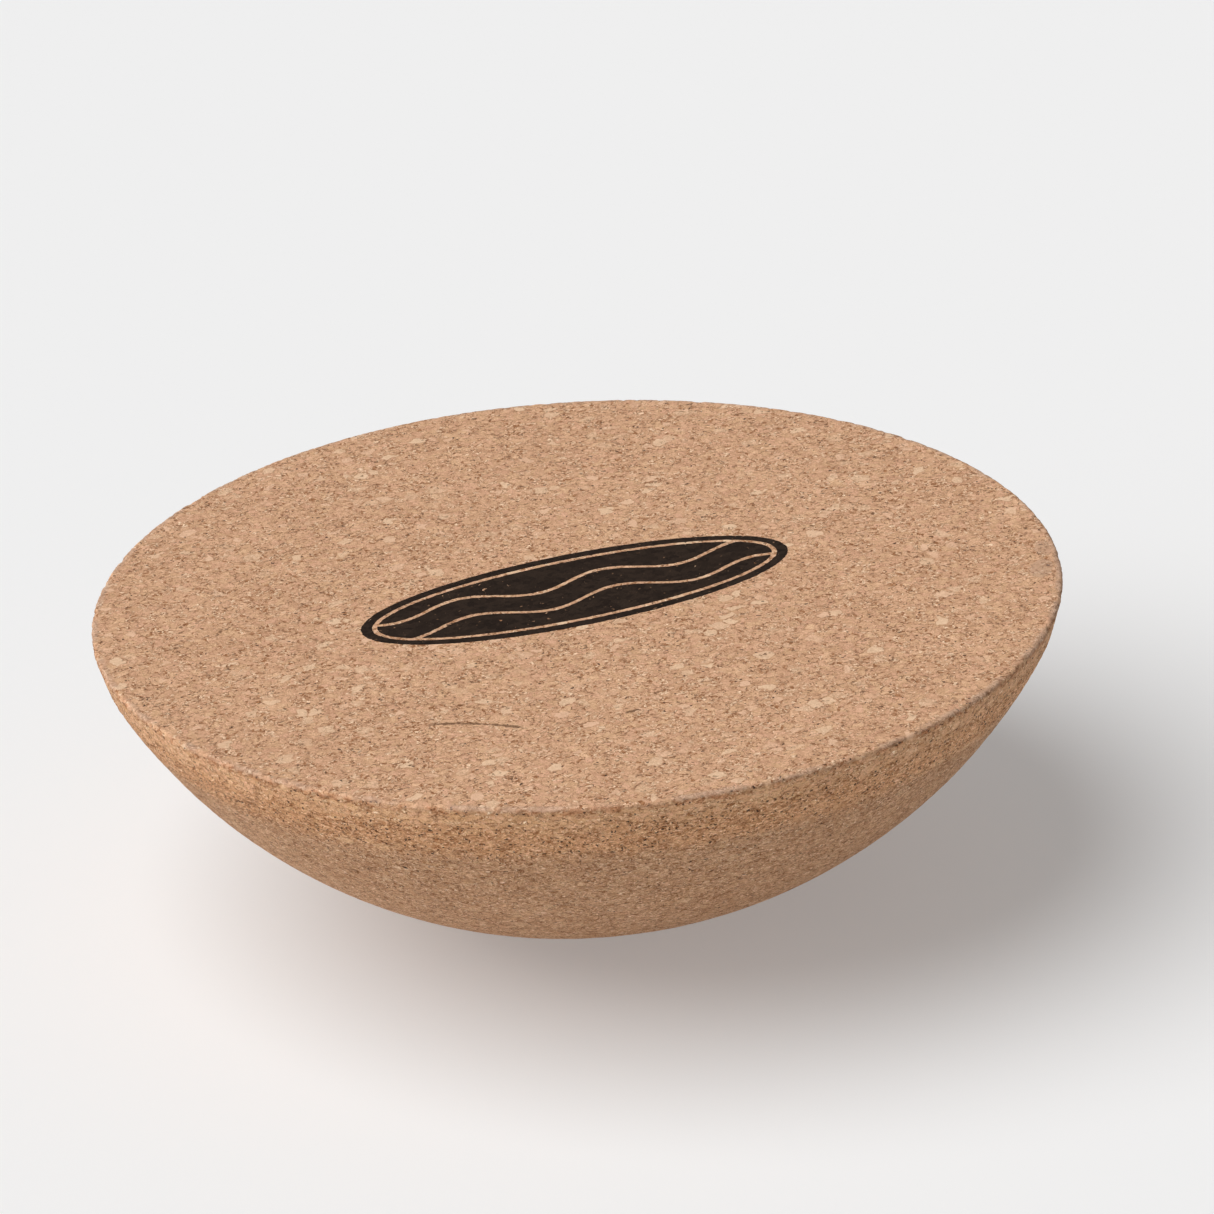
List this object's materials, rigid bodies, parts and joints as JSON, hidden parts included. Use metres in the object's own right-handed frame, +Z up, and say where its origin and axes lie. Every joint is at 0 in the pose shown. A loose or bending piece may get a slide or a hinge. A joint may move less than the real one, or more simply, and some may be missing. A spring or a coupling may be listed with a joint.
{
  "type": "balance board",
  "caption": "Round cork balance board: a flat standing deck with a printed wave badge over a ball-shaped base that rocks and turns on the floor.",
  "frame": {"origin": "lowest point of the dome, on the board's centre line", "axes": "+Z up through the middle of the deck, +X along the badge, +Y towards the badge's upper side"},
  "size_m": [0.36, 0.36, 0.12],
  "materials": {
    "cork": "agglomerated cork granules, turned and sanded, matt",
    "ink": "black printing ink soaked into cork, dull, with small gaps"
  },
  "bodies": {
    "root": {"cork_body": "cork", "badge_border": "ink", "badge_wave_1": "ink", "badge_wave_2": "ink", "badge_wave_3": "ink"}
  },
  "joints": []
}
